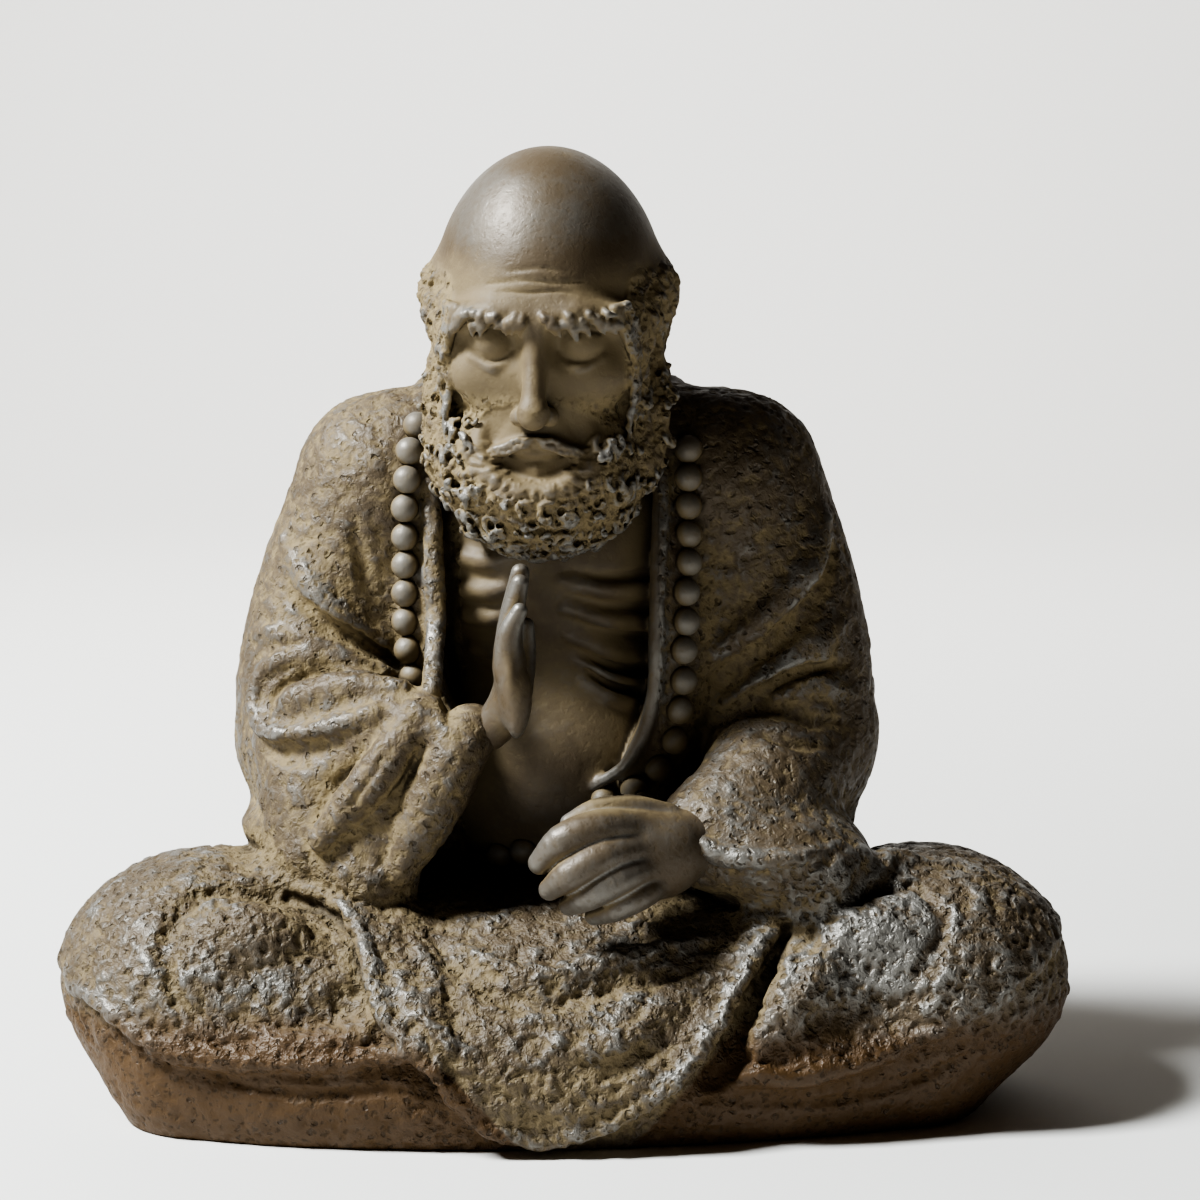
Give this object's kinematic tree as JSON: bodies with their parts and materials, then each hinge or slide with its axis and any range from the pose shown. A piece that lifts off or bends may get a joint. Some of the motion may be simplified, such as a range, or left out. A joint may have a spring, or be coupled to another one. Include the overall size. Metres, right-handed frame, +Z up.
{
  "type": "seated monk statue",
  "caption": "Cast figure of a bearded monk seated cross-legged in a wide robe, one hand raised and the other closed on the lap, standing free on a flat underside.",
  "frame": {"origin": "on the flat underside, under the middle of the figure's bounding box", "axes": "+Z up, the figure faces -Y, +X to the viewer's right and the figure's left"},
  "size_m": [0.4284, 0.2546, 0.4006],
  "materials": {
    "bronze": "Dark brown-grey bronze patina on a rough pitted casting, with ochre dust in the recesses and a burnished blue-grey sheen on the head, beads and hands."
  },
  "bodies": {
    "root": {"statue": "bronze"}
  },
  "joints": []
}
